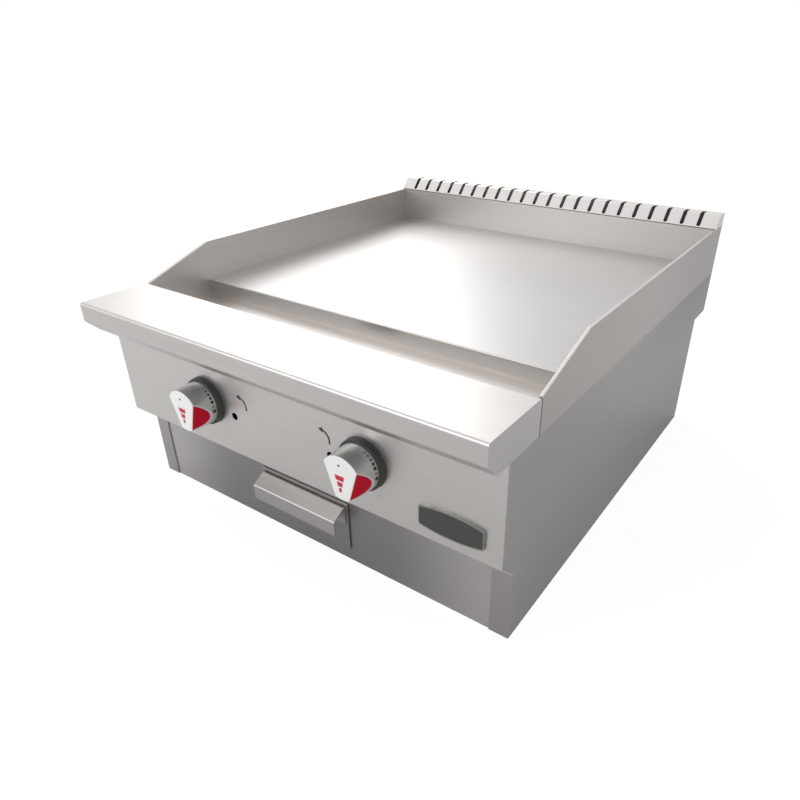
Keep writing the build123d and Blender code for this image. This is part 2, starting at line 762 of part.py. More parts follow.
single = {
    "front_ledge": front_ledge(),
    "control_panel": control_panel(),
    "lower_front_panel": lower_front_panel(),
    "base_pan": base_pan(),
    "leg_sockets": leg_sockets(),
    "back_panel": back_panel(),
    "flue_back": flue_back(),
    "flue_cover": flue_cover(),
    "shell_screws": shell_screws(),
    "griddle_plate": griddle_plate(),
    "rear_splash": rear_splash(),
    "grease_trough": grease_trough(),
    "grease_chute": grease_chute(),
    "front_baffle": front_baffle(),
    "center_baffle": center_baffle(),
    "heat_shield": heat_shield(),
    "burner_support_front": burner_support(burner_front - 10),
    "burner_support_rear": burner_support(burner_rear - 30),
    "gas_manifold": gas_manifold(),
    "pipe_elbow": pipe_elbow(),
    "gas_supply_pipe": gas_supply_pipe(),
    "pipe_coupling": pipe_coupling(),
    "gas_inlet_nipple": gas_inlet_nipple(),
    "bracket_screws": bracket_screws(),
    "nameplate": nameplate(),
    "nameplate_face": nameplate_face(),
    "orifice_hoods": both(orifice_hood()),
    "manifold_brackets": both(manifold_bracket()),
    "pilot_valves": both(pilot_valve()),
    "pilot_burners": both(pilot_burner()),
    "drawer_front": drawer_front(),
    "drawer_handle": drawer_handle(),
    "grease_tray": grease_tray(),
}
paired = {
    "side_panel": side_panel(),
    "splash_guard": splash_guard(),
    "plate_support": plate_support(),
    "firebox_liner": firebox_liner(),
    "burner": burner(),
    "air_shutter": air_shutter(),
    "valve_body": valve_body(),
    "pilot_tube": pilot_tube(),
    "knob": knob(),
    "knob_grips": knob_grips(),
    "valve_stem": valve_stem(),
    "knob_bezel": knob_bezel(),
    "drawer_runner": drawer_runner(),
}
for name, shape in single.items():
    save(name, shape)
for name, shape in paired.items():
    save(f"{name}_right", shape)
    save(f"{name}_left", mirrored(shape))
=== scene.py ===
import math

import bmesh
import bpy
from bpy.props import FloatProperty, FloatVectorProperty, IntProperty, PointerProperty
from mathutils import Matrix, Vector


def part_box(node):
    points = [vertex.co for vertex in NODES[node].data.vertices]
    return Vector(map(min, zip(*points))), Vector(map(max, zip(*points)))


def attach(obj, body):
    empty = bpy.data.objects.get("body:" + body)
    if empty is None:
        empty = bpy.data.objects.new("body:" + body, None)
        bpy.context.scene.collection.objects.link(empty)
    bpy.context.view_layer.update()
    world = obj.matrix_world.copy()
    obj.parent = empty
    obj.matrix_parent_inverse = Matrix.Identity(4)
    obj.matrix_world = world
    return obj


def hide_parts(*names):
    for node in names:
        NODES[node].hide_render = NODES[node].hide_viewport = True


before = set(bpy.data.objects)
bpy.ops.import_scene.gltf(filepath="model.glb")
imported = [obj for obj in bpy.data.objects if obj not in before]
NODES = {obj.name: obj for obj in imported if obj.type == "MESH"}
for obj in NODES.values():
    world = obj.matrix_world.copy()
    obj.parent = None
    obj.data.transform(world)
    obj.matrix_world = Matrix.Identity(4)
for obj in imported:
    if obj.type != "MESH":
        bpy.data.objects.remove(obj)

bl_info = {
    "name": "Countertop gas griddle",
    "version": (1, 0, 0),
    "blender": (4, 5, 0),
    "location": "3D View > Sidebar > Griddle",
    "description": "Finishes, marks, screws and studio for a two burner countertop gas griddle",
    "category": "Object",
}

MILLIMETRE = 0.001

# Colours of the parts inside and of the small fittings.
ZINC = (0.52, 0.53, 0.54)
BLACK_STEEL = (0.035, 0.034, 0.033)
BURNER_STEEL = (0.20, 0.185, 0.17)
BURNER_SCALE = (0.26, 0.2, 0.15)
BLACK_PIPE = (0.045, 0.043, 0.042)
THREAD_IRON = (0.07, 0.067, 0.064)
BRASS = (0.72, 0.52, 0.24)
ALUMINIUM = (0.72, 0.72, 0.71)
PILOT_STEEL = (0.56, 0.55, 0.53)
SCREW_STEEL = (0.58, 0.57, 0.55)
RIM_STEEL = (0.30, 0.30, 0.29)
FACE_WHITE = (0.92, 0.93, 0.93)
PLAIN_WHITE = (1.0, 1.0, 1.0, 1.0)

# Painted light and shade: how much lighter or darker a sheet part is drawn than the sheet it is cut from, for
# how light falls on it.
PAINTED_LIGHT_TONES = {"ledge": 0.95, "apron": 0.8, "splash": 0.84, "flue": 1.2, "drawer": 0.74}

# Printed marks start this far under the flat or the round surface that they lie on.
FLAT_SINK = 0.00002
ROUND_SINK = 0.0004

# The turning arrows: first angle and sweep in degrees, and the pieces of the arc.
ARROW_START = -14
ARROW_SWEEP = 94
ARROW_STEPS = 16

# Each flame block's top and foot from the knob's axis and its half widths there, in millimetres.
FLAME_BLOCKS = ((3.6, -2.6, 6.4, 5.4), (-4.4, -10.2, 4.1, 3.3), (-12.0, -17.4, 2.1, 1.5))
FACE_OFFSET = 1.4
FACE_DOT_RISE = 16.3
FACE_DOT_RADIUS = 1.4

# The skirt's marks lie inside the bezel's rim and in front of the knob's rear.
SKIRT_INSET = 0.0034
SKIRT_DEPTH = 0.0042
OFF_DOT_TURN = math.radians(-5)
OFF_DOT_RADIUS = 0.0024
OFF_BAR_TURN = math.radians(8)
OFF_BAR_HALF_WIDTH = 0.0006
OFF_BAR_HALF_LENGTH = 0.0019
SQUARE_THICKNESS = 0.000192

# The inlet's plain end beyond its thread, and the taper of a pipe thread's radius.
THREAD_END = 0.0008
THREAD_TAPER = 1 / 32


# --- Node trees --------------------------------------------------------------------------

class Out:
    """A node's output that stands in sums: every operator adds one Math node to its tree."""

    def __init__(self, nodes, socket):
        self.nodes = nodes
        self.socket = socket

    def math(self, operation, first, second=0.0):
        return self.nodes.add("ShaderNodeMath", {"operation": operation}, {0: first, 1: second})

    def __add__(self, other):
        return self.math("ADD", self, other)

    def __radd__(self, other):
        return self.math("ADD", other, self)

    def __sub__(self, other):
        return self.math("SUBTRACT", self, other)

    def __rsub__(self, other):
        return self.math("SUBTRACT", other, self)

    def __mul__(self, other):
        return self.math("MULTIPLY", self, other)

    def __rmul__(self, other):
        return self.math("MULTIPLY", other, self)

    def __truediv__(self, other):
        return self.math("DIVIDE", self, other)

    def __rtruediv__(self, other):
        return self.math("DIVIDE", other, self)

    def __abs__(self):
        return self.math("ABSOLUTE", self)

    def most(self, other):
        return self.math("MAXIMUM", self, other)

    def sine(self):
        return self.math("SINE", self)

    def cosine(self):
        return self.math("COSINE", self)

    def beside(self, name):
        """Another output of the same node."""
        return Out(self.nodes, self.socket.node.outputs[name])


class Nodes:
    """Adds nodes to one tree."""

    def __init__(self, tree):
        self.tree = tree

    def add(self, kind, settings=None, values=None, out=0):
        """A node of this type: its settings first, then its sockets' values and links."""
        made = self.tree.nodes.new(kind)
        for name, value in (settings or {}).items():
            setattr(made, name, value)
        for name, value in (values or {}).items():
            for part in value if isinstance(value, list) else [value]:
                if isinstance(part, Out):
                    self.tree.links.new(part.socket, made.inputs[name])
                else:
                    made.inputs[name].default_value = part
        return Out(self, made.outputs[out]) if made.outputs else None


# --- Shader parts ------------------------------------------------------------------------

def noise(nodes, place, scale, detail=3.0):
    """Noise whose scale may differ along each axis, in lumps per metre."""
    sizes = tuple(scale) if hasattr(scale, "__len__") else (scale,) * 3
    stretched = nodes.add("ShaderNodeMapping", {"vector_type": "POINT"}, {"Vector": place, "Scale": sizes})
    return nodes.add("ShaderNodeTexNoise", {}, {"Vector": stretched, "Scale": 1.0, "Detail": detail})


def ease(nodes, value, low, high):
    """0 at low and 1 at high, eased between."""
    return nodes.add(
        "ShaderNodeMapRange",
        {"interpolation_type": "SMOOTHSTEP"},
        {"Value": value, "From Min": low, "From Max": high},
    )


def toned(nodes, colour, tone):
    """A colour made lighter or darker by a factor."""
    start = colour if isinstance(colour, Out) else tuple(colour)[:3]
    return nodes.add("ShaderNodeVectorMath", {"operation": "SCALE"}, {0: start, "Scale": tone})


def mixed(nodes, share, first, second):
    """A colour between two colours."""
    pair = [part if isinstance(part, Out) else (*tuple(part)[:3], 1.0) for part in (first, second)]
    return nodes.add("ShaderNodeMix", {"data_type": "RGBA"}, {0: share, 6: pair[0], 7: pair[1]}, out=2)


def relief(nodes, height, depth, strength=1.0):
    """A fine texture's bump, of this depth in metres."""
    return nodes.add("ShaderNodeBump", {}, {"Strength": strength, "Distance": depth, "Height": height})


def new_material(name):
    """An empty material and the maker of its nodes."""
    made = bpy.data.materials.new(name)
    made.use_nodes = True
    made.node_tree.nodes.clear()
    return made, Nodes(made.node_tree)


def surface(nodes, **values):
    """The shader and the material's output. Underscores stand for the spaces in socket names."""
    named = {name.replace("_", " "): value for name, value in values.items()}
    for name, value in named.items():
        if name == "Base Color" and not isinstance(value, Out):
            named[name] = (*tuple(value)[:3], 1.0)
    shader = nodes.add("ShaderNodeBsdfPrincipled", {}, named)
    nodes.add("ShaderNodeOutputMaterial", {}, {"Surface": shader})


def object_place(nodes):
    """The point on the object, in the frame that every piece shares."""
    return nodes.add("ShaderNodeTexCoord", {}, {}, out="Object")


def parts_of(nodes, place):
    """The x, y and z of a place."""
    x = nodes.add("ShaderNodeSeparateXYZ", {}, {"Vector": place})
    return x, x.beside("Y"), x.beside("Z")


def painted_light_tone(colour, part):
    """A sheet's colour made lighter or darker for this part, as painted light or shade."""
    return [PAINTED_LIGHT_TONES[part] * channel for channel in colour]


# --- Finishes ----------------------------------------------------------------------------

def brushed_steel(name, colour, along, roughness, shade=None, lines=0.14, smudge=0.05):
    """Satin sheet steel: fine lines along one axis, broad soft smudges and a slightly uneven sheen.
    shade, where given, takes the nodes and the place and returns a factor on the colour that paints shade on
    it."""
    made, nodes = new_material(name)
    place = object_place(nodes)
    lie = "XYZ".index(along)
    fine = [4.0 if axis == lie else 620.0 for axis in range(3)]
    broad = [1.6 if axis == lie else 95.0 for axis in range(3)]
    hair = noise(nodes, place, fine, 4.0)
    bands = noise(nodes, place, broad, 2.0)
    cloud = noise(nodes, place, 5.0, 3.0)
    tone = 1 + (hair - 0.5) * lines + (bands - 0.5) * (lines * 0.35) + (cloud - 0.5) * smudge
    if shade:
        tone = tone * shade(nodes, place)
    surface(
        nodes,
        Base_Color=toned(nodes, colour, tone),
        Metallic=1.0,
        Roughness=roughness + (hair - 0.5) * 0.16 + (cloud - 0.5) * 0.1,
        Normal=relief(nodes, hair, 0.00006),
    )
    return made


def ground_plate(name, colour, roughness):
    """Ground and polished plate: crossed polishing lines, faint rings of heat, and a darker, rougher band
    along the sides and the rear.
    """
    made, nodes = new_material(name)
    place = object_place(nodes)
    x, y, _ = parts_of(nodes, place)
    long_lines = noise(nodes, place, (5.0, 540.0, 5.0), 4.0)
    cross_lines = noise(nodes, place, (540.0, 5.0, 5.0), 4.0)
    cloud = noise(nodes, place, 4.5, 4.0)
    lines = long_lines * 0.65 + cross_lines * 0.35
    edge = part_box("griddle_plate")[1]
    rim = ease(nodes, abs(x), edge.x - 0.035, edge.x) * 0.5
    rear = ease(nodes, y, edge.y - 0.05, edge.y) * 0.5
    # Darker and rougher towards the sides and the rear.
    edge_band = rim.most(rear)
    heat = ease(nodes, cloud, 0.52, 0.75) * 0.5
    tone = 1 + (lines - 0.5) * 0.16 + (cloud - 0.5) * 0.08 - edge_band * 0.12
    warm = (colour[0] * 0.99, colour[1] * 0.955, colour[2] * 0.9)
    base = mixed(nodes, heat * 0.5, colour, warm)
    surface(
        nodes,
        Base_Color=toned(nodes, base, tone),
        Metallic=1.0,
        Roughness=roughness + (lines - 0.5) * 0.14 + (cloud - 0.5) * 0.12 + edge_band * 0.06,
        Normal=relief(nodes, lines, 0.00007),
    )
    return made


def galvanised(name, colour):
    """Hot dipped zinc: flat crystals of different grey, dull overall."""
    made, nodes = new_material(name)
    place = object_place(nodes)
    crystals = nodes.add(
        "ShaderNodeTexVoronoi", {"feature": "F1"}, {"Vector": place, "Scale": 55.0}, out="Color"
    )
    level = nodes.add("ShaderNodeSeparateXYZ", {}, {"Vector": crystals})
    cloud = noise(nodes, place, 9.0, 4.0)
    surface(
        nodes,
        Base_Color=toned(nodes, colour, 0.88 + level * 0.2 + (cloud - 0.5) * 0.14),
        Metallic=0.9,
        Roughness=0.42 + level * 0.14,
        Normal=relief(nodes, level, 0.00005, 0.4),
    )
    return made


def scaled_steel(name, colour, metallic, roughness, lumps, tint=None):
    """Dark rolled or cast metal: mill scale in patches over a fine grain."""
    made, nodes = new_material(name)
    place = object_place(nodes)
    grain = noise(nodes, place, lumps, 5.0)
    patches = noise(nodes, place, 14.0, 4.0)
    patch = ease(nodes, patches, 0.48, 0.66)
    base = mixed(nodes, patch * 0.6, colour, tint or tuple(part * 1.35 for part in colour[:3]))
    surface(
        nodes,
        Base_Color=toned(nodes, base, 0.85 + grain * 0.3),
        Metallic=metallic,
        Roughness=roughness + (grain - 0.5) * 0.2 - patch * 0.05,
        Normal=relief(nodes, grain, 0.00015, 0.5),
    )
    return made


def turned_metal(name, colour, roughness, around="Y"):
    """Machined fittings: fine rings round one axis and slight tarnish."""
    made, nodes = new_material(name)
    place = object_place(nodes)
    sizes = [900.0 if axis == "XYZ".index(around) else 12.0 for axis in range(3)]
    rings = noise(nodes, place, sizes, 2.0)
    tarnish = noise(nodes, place, 60.0, 4.0)
    dull = ease(nodes, tarnish, 0.45, 0.7)
    tone = 0.95 + (rings - 0.5) * 0.16 - dull * 0.14
    surface(
        nodes,
        Base_Color=toned(nodes, colour, tone),
        Metallic=1.0,
        Roughness=roughness + (rings - 0.5) * 0.1 + dull * 0.12,
        Normal=relief(nodes, rings, 0.00004),
    )
    return made


def knob_silver(name, colour):
    """Satin metallic paint on the moulded knob, with a paler printed face."""
    made, nodes = new_material(name)
    place = object_place(nodes)
    _, y, _ = parts_of(nodes, place)
    flakes = noise(nodes, place, 2600.0, 2.0)
    handled = noise(nodes, place, 45.0, 3.0)
    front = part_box("knob_left")[0].y
    face = 1 - ease(nodes, y, front + 0.0004, front + 0.0012)
    paint = toned(nodes, colour, 1 + (flakes - 0.5) * 0.16 + (handled - 0.5) * 0.06)
    pale = toned(nodes, FACE_WHITE, 1 + (handled - 0.5) * 0.05)
    surface(
        nodes,
        Base_Color=mixed(nodes, face, paint, pale),
        Metallic=0.8 - face * 0.75,
        Roughness=0.3 + (handled - 0.5) * 0.12 + face * 0.06,
        Coat_Weight=0.25,
        Coat_Roughness=0.2,
        Normal=relief(nodes, flakes, 0.00002, 0.5),
    )
    return made


def moulded(name, colour, roughness, lumps=1500.0, depth=0.00004, coat=0.0, shine=0.4):
    """Moulded plastic or printed film: fine texture, handling marks and slightly faded highs."""
    made, nodes = new_material(name)
    place = object_place(nodes)
    texture = noise(nodes, place, lumps, 3.0)
    handled = noise(nodes, place, 40.0, 4.0)
    surface(
        nodes,
        Base_Color=toned(nodes, colour, 1 + (texture - 0.5) * 0.12 + (handled - 0.5) * 0.14),
        Specular_IOR_Level=shine,
        Roughness=roughness + (handled - 0.5) * 0.16,
        Coat_Weight=coat,
        Coat_Roughness=0.15,
        Normal=relief(nodes, texture, depth, 0.6),
    )
    return made


def painted_shade_side(nodes, place):
    """Painted shade: the side panels are drawn darker towards their foot and their upper rear corner."""
    _, y, z = parts_of(nodes, place)
    foot = 0.86 + ease(nodes, z, 0.0, 0.2) * 0.14
    rear = ease(nodes, y, -0.1, 0.35) * 0.12
    corner = ease(nodes, y, -0.05, 0.32) * ease(nodes, z, 0.13, 0.25) * 0.18
    return foot * (1 - rear - corner)


def painted_shade_guard(nodes, place):
    """Painted shade: the guards' outer faces are drawn darker than the inner ones, most of all at the rear.
    """
    x, y, _ = parts_of(nodes, place)
    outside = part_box("splash_guard_right")[1].x
    outer = ease(nodes, abs(x), outside - 0.0013, outside - 0.0005)
    return 1 - outer * (0.22 + ease(nodes, y, 0.0, 0.35) * 0.14)


def painted_shade_apron(nodes, place):
    """Painted shade: the lower front is drawn darker towards the drawer, in the middle."""
    x, _, _ = parts_of(nodes, place)
    return 0.6 + ease(nodes, abs(x), 0.12, 0.29) * 0.4


def finish_of_slot(slot, looks):
    """The finish for each of the record's material slots."""
    makers = {
        "stainless_front": lambda: brushed_steel(slot, looks.front, "X", 0.4),
        "stainless_body": lambda: brushed_steel(slot, looks.body, "X", 0.42),
        "stainless_guard": lambda: brushed_steel(slot, looks.guard, "Y", 0.4, painted_shade_guard),
        "griddle_steel": lambda: ground_plate(slot, looks.plate, 0.4),
        "trough_steel": lambda: brushed_steel(slot, looks.trough, "X", 0.42),
        # Painted shade: the drawer's steel is the front steel drawn darker.
        "drawer_steel": lambda: brushed_steel(slot, painted_light_tone(looks.front, "drawer"), "X", 0.42),
        "galvanised_steel": lambda: galvanised(slot, ZINC),
        "black_steel": lambda: scaled_steel(slot, BLACK_STEEL, 0.4, 0.55, 700.0),
        "burner_steel": lambda: scaled_steel(slot, BURNER_STEEL, 0.9, 0.5, 420.0, BURNER_SCALE),
        "black_pipe": lambda: scaled_steel(slot, BLACK_PIPE, 0.6, 0.45, 520.0),
        "brass": lambda: turned_metal(slot, BRASS, 0.3),
        "aluminium_tube": lambda: turned_metal(slot, ALUMINIUM, 0.36, "Z"),
        "pilot_steel": lambda: turned_metal(slot, PILOT_STEEL, 0.34),
        "knob_silver": lambda: knob_silver(slot, looks.knob),
        "knob_red": lambda: moulded(slot, looks.grips, 0.45, lumps=1200.0, depth=0.00003, shine=0.1),
        "bezel_black": lambda: moulded(slot, looks.bezel, 0.5),
        "plate_rim": lambda: turned_metal(slot, RIM_STEEL, 0.35, "X"),
        "plate_infill": lambda: moulded(slot, looks.infill, 0.42, lumps=900.0, depth=0.00002, coat=0.2),
    }
    return makers[slot]()


def node_slot(node):
    """The record's slot that a CAD node was packed with."""
    return NODES[node].material_slots[0].material.name.split(".")[0]


def dress(names, material):
    """Gives CAD nodes one material."""
    for name in names:
        for held in NODES[name].material_slots:
            held.material = material


# --- Meshes ------------------------------------------------------------------------------

def new_piece(name, bm, material, body):
    """A finished mesh piece at the origin, riding on a body."""
    bmesh.ops.recalc_face_normals(bm, faces=bm.faces)
    mesh = bpy.data.meshes.new(name)
    bm.to_mesh(mesh)
    bm.free()
    mesh.materials.append(material)
    return placed(name, mesh, body)


def placed(name, mesh, body):
    """An object at the origin for a finished mesh, riding on a body."""
    made = bpy.data.objects.new(name, mesh)
    bpy.context.scene.collection.objects.link(made)
    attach(made, body)
    return made


def add_tablet(bm, outline, low, high, point):
    """A closed tablet over an outline, from one height to another, with its top edge eased.
    point gives the place of (u, v, height)."""
    inset = (high - low) * 0.35
    middle = Vector((sum(u for u, _ in outline), sum(v for _, v in outline))) / len(outline)
    rings = []
    for height, shrink in ((low, 0.0), (high - inset, 0.0), (high, inset)):
        ring = []
        for u, v in outline:
            pull = middle - Vector((u, v))
            at = Vector((u, v)) + pull.normalized() * min(shrink, pull.length * 0.3)
            ring.append(bm.verts.new(point(at.x, at.y, height)))
        rings.append(ring)
    count = len(outline)
    for lower, upper in zip(rings, rings[1:]):
        for i in range(count):
            bm.faces.new((lower[i], lower[(i + 1) % count], upper[(i + 1) % count], upper[i]))
    bm.faces.new(rings[0][::-1])
    bm.faces.new(rings[-1])


def circle(u, v, radius, count=24):
    """The outline of a round mark."""
    turns = [math.tau * i / count for i in range(count)]
    return [(u + radius * math.cos(turn), v + radius * math.sin(turn)) for turn in turns]


def knob_axis(side):
    """The middle of a knob across and up, and its front and rear depth."""
    low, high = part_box("knob_" + side)
    bezel_low, bezel_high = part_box("knob_bezel_" + side)
    middle = (bezel_low + bezel_high) / 2
    return middle.x, middle.z, low.y, high.y


# --- Geometry Nodes trees ----------------------------------------------------------------

class Pattern:
    """A Geometry Nodes tree with named inputs."""

    def __init__(self, name):
        self.tree = bpy.data.node_groups.new(name, "GeometryNodeTree")
        self.tree.interface.new_socket("Geometry", in_out="INPUT", socket_type="NodeSocketGeometry")
        self.tree.interface.new_socket("Geometry", in_out="OUTPUT", socket_type="NodeSocketGeometry")
        self.nodes = Nodes(self.tree)
        self.identifiers = {}
        self.entry = None

    def take(self, **inputs):
        """Adds one input for each name, with its default."""
        kinds = {float: "NodeSocketFloat", int: "NodeSocketInt", bpy.types.Material: "NodeSocketMaterial"}
        for name, value in inputs.items():
            kind = kinds[bpy.types.Material if isinstance(value, bpy.types.Material) else type(value)]
            socket = self.tree.interface.new_socket(name, in_out="INPUT", socket_type=kind)
            self.identifiers[name] = (socket.identifier, value)
        self.entry = self.nodes.add("NodeGroupInput")

    def value(self, name):
        """One of the named inputs, to use in the tree."""
        return self.entry.beside(name)

    def close(self, geometry):
        """Realizes the instances, sets the material and ends the tree."""
        real = self.nodes.add("GeometryNodeRealizeInstances", {}, {"Geometry": geometry})
        painted = self.nodes.add(
            "GeometryNodeSetMaterial", {}, {"Geometry": real, "Material": self.value("material")}
        )
        self.nodes.add("NodeGroupOutput", {}, {0: painted})

    def bake(self, name, source):
        """The tree's result on a source mesh, as a plain mesh."""
        carrier = bpy.data.objects.new(name + "_carrier", source)
        bpy.context.scene.collection.objects.link(carrier)
        modifier = carrier.modifiers.new("pattern", "NODES")
        modifier.node_group = self.tree
        for identifier, value in self.identifiers.values():
            modifier[identifier] = value
        seen = carrier.evaluated_get(bpy.context.evaluated_depsgraph_get())
        mesh = bpy.data.meshes.new_from_object(seen)
        mesh.name = name
        carrier.modifiers.clear()
        bpy.data.objects.remove(carrier)
        bpy.data.meshes.remove(source)
        return mesh


def single_point():
    """A source mesh for a pattern that needs none."""
    mesh = bpy.data.meshes.new("point")
    mesh.from_pydata([(0, 0, 0)], [], [])
    return mesh


def islands(node):
    """The lowest and highest corners of each separate solid in a CAD node."""
    bm = bmesh.new()
    bm.from_mesh(NODES[node].data)
    bmesh.ops.remove_doubles(bm, verts=bm.verts, dist=1e-6)
    seen, found = set(), []
    for first in bm.verts:
        if first in seen:
            continue
        group, waiting = [], [first]
        seen.add(first)
        while waiting:
            vert = waiting.pop()
            group.append(vert.co.copy())
            for edge in vert.link_edges:
                other = edge.other_vert(vert)
                if other not in seen:
                    seen.add(other)
                    waiting.append(other)
        low = Vector([min(co[i] for co in group) for i in range(3)])
        high = Vector([max(co[i] for co in group) for i in range(3)])
        found.append((low, high))
    bm.free()
    return found


def screw_pattern(radius, height, driver, material):
    """Pan heads with a cross recess on every point, each turned its own way about its "facing"."""
    pattern = Pattern("screw heads")
    pattern.take(radius=radius, height=height, driver=driver, seed=7, material=material)
    nodes = pattern.nodes
    reach, rise = pattern.value("radius"), pattern.value("height")
    # The ball is larger than one that would end at the head's edge, so the edge keeps some height.
    ball = (reach * reach + rise * rise * 1.6) / (2 * rise)
    dome = nodes.add("GeometryNodeMeshUVSphere", {}, {"Segments": 40, "Rings": 28, "Radius": ball})
    sink = nodes.add("ShaderNodeCombineXYZ", {}, {"Z": rise - ball})
    dome = nodes.add("GeometryNodeTransform", {}, {"Geometry": dome, "Translation": sink})
    stem = nodes.add("GeometryNodeMeshCylinder", {}, {"Vertices": 40, "Radius": reach, "Depth": rise * 2})
    middle = nodes.add("ShaderNodeCombineXYZ", {}, {"Z": rise * 0.8})
    stem = nodes.add("GeometryNodeTransform", {}, {"Geometry": stem, "Translation": middle})
    head = nodes.add(
        "GeometryNodeMeshBoolean", {"operation": "INTERSECT"}, {"Mesh 2": [dome, stem]}, out="Mesh"
    )
    across = pattern.value("driver")
    bars = []
    for long_side, short_side in ((across, across * 0.24), (across * 0.24, across)):
        size = nodes.add("ShaderNodeCombineXYZ", {}, {"X": long_side, "Y": short_side, "Z": rise * 1.1})
        bar = nodes.add("GeometryNodeMeshCube", {}, {"Size": size})
        lift = nodes.add("ShaderNodeCombineXYZ", {}, {"Z": rise})
        bars.append(nodes.add("GeometryNodeTransform", {}, {"Geometry": bar, "Translation": lift}))
    head = nodes.add(
        "GeometryNodeMeshBoolean", {"operation": "DIFFERENCE"}, {"Mesh 1": head, "Mesh 2": bars}, out="Mesh"
    )
    facing = nodes.add("GeometryNodeInputNamedAttribute", {"data_type": "FLOAT_VECTOR"}, {"Name": "facing"})
    aim = nodes.add("FunctionNodeAlignRotationToVector", {"axis": "Z"}, {"Vector": facing})
    turns = {2: 0.0, 3: math.tau, "Seed": pattern.value("seed")}
    spin = nodes.add("FunctionNodeRandomValue", {"data_type": "FLOAT"}, turns, out=1)
    turn = nodes.add("FunctionNodeAxisAngleToRotation", {}, {"Axis": (0.0, 0.0, 1.0), "Angle": spin})
    aim = nodes.add(
        "FunctionNodeRotateRotation", {"rotation_space": "LOCAL"}, {"Rotation": aim, "Rotate By": turn}
    )
    heads = nodes.add(
        "GeometryNodeInstanceOnPoints", {}, {"Points": pattern.entry, "Instance": head, "Rotation": aim}
    )
    pattern.close(heads)
    return pattern


def thread_pattern(radius, pitch, depth, length, material):
    """A tapered pipe thread's ridge, wound about Z from the origin up."""
    pattern = Pattern("pipe thread")
    pattern.take(radius=radius, pitch=pitch, depth=depth, length=length, material=material)
    nodes = pattern.nodes
    reach, step, deep, run = (pattern.value(name) for name in ("radius", "pitch", "depth", "length"))
    path = nodes.add(
        "GeometryNodeCurveSpiral",
        {},
        {
            "Resolution": 40,
            "Rotations": run / step,
            "Start Radius": reach,
            "End Radius": reach - run * THREAD_TAPER,
            "Height": run,
        },
    )
    ridge = nodes.add(
        "GeometryNodeCurvePrimitiveCircle", {"mode": "RADIUS"}, {"Resolution": 3, "Radius": deep}
    )
    thread = nodes.add(
        "GeometryNodeCurveToMesh", {}, {"Curve": path, "Profile Curve": ridge, "Fill Caps": True}
    )
    pattern.close(thread)
    return pattern


def scale_pattern(count, first, step, radius, largest, smallest, material):
    """A row of shrinking squares round the Z axis, which stand on a cone's side."""
    pattern = Pattern("heat scale")
    pattern.take(
        count=count,
        first=first,
        step=step,
        radius=radius,
        largest=largest,
        smallest=smallest,
        thickness=SQUARE_THICKNESS,
        material=material,
    )
    nodes = pattern.nodes
    number = nodes.add("GeometryNodeInputIndex")
    turn = pattern.value("first") + number * pattern.value("step")
    share = number / (pattern.value("count") - 1)
    size = pattern.value("largest") + (pattern.value("smallest") - pattern.value("largest")) * share
    reach = pattern.value("radius")
    place = nodes.add("ShaderNodeCombineXYZ", {}, {"X": turn.cosine() * reach, "Y": turn.sine() * reach})
    row = nodes.add("GeometryNodeMeshLine", {}, {"Count": pattern.value("count")})
    row = nodes.add("GeometryNodeSetPosition", {}, {"Geometry": row, "Position": place})
    square = nodes.add("GeometryNodeMeshCube", {}, {"Size": (1.0, 1.0, 1.0), "Vertices Y": 3})
    aim = nodes.add("ShaderNodeCombineXYZ", {}, {"Z": turn})
    grow = nodes.add("ShaderNodeCombineXYZ", {}, {"X": pattern.value("thickness"), "Y": size, "Z": size})
    squares = nodes.add(
        "GeometryNodeInstanceOnPoints",
        {},
        {"Points": row, "Instance": square, "Rotation": aim, "Scale": grow},
    )
    pattern.close(squares)
    return pattern


# --- Settings ----------------------------------------------------------------------------

def colour_property(name, description, default):
    return FloatVectorProperty(
        name=name, description=description, default=default, min=0.0, max=1.0, size=3, subtype="COLOR"
    )


def length_property(name, description, default):
    return FloatProperty(
        name=name, description=description, default=default, min=0.0, unit="LENGTH", precision=5
    )


def turn_property(name, description, default):
    return FloatProperty(name=name, description=description, default=default, unit="ROTATION")


def place_property(name, description, default):
    return FloatVectorProperty(
        name=name, description=description, default=default, size=3, subtype="TRANSLATION", unit="LENGTH"
    )


def strength_property(name, description, default, unit="NONE"):
    return FloatProperty(name=name, description=description, default=default, min=0.0, unit=unit)


class GriddleFinishes(bpy.types.PropertyGroup):
    """Base colours of the finishes."""

    front: colour_property("Front steel", "Colour of the ledge, panel and lower front", (0.58, 0.563, 0.546))
    # Painted shade: the body steel is the same stainless as the front, drawn darker for the side panels.
    body: colour_property("Body steel", "Colour of the side panels and the flue", (0.405, 0.392, 0.38))
    guard: colour_property("Splash steel", "Colour of the splash guards and rear splash", (0.61, 0.58, 0.56))
    plate: colour_property("Griddle plate", "Colour of the ground plate", (0.53, 0.52, 0.51))
    trough: colour_property("Trough steel", "Colour of the grease trough", (0.60, 0.57, 0.55))
    knob: colour_property("Knob", "Colour of the knobs' satin paint", (0.55, 0.55, 0.54))
    grips: colour_property("Knob grips", "Colour of the grips on the knobs", (0.54, 0.001, 0.02))
    bezel: colour_property("Bezels", "Colour of the rings behind the knobs", (0.045, 0.045, 0.043))
    infill: colour_property("Nameplate", "Colour of the blank nameplate's infill", (0.045, 0.045, 0.045))
    marks: colour_property("Printed marks", "Colour of the arrows and the scale", (0.03, 0.026, 0.024))
    flame: colour_property("Flame marks", "Colour of the blocks on the knobs' faces", (0.6, 0.006, 0.03))


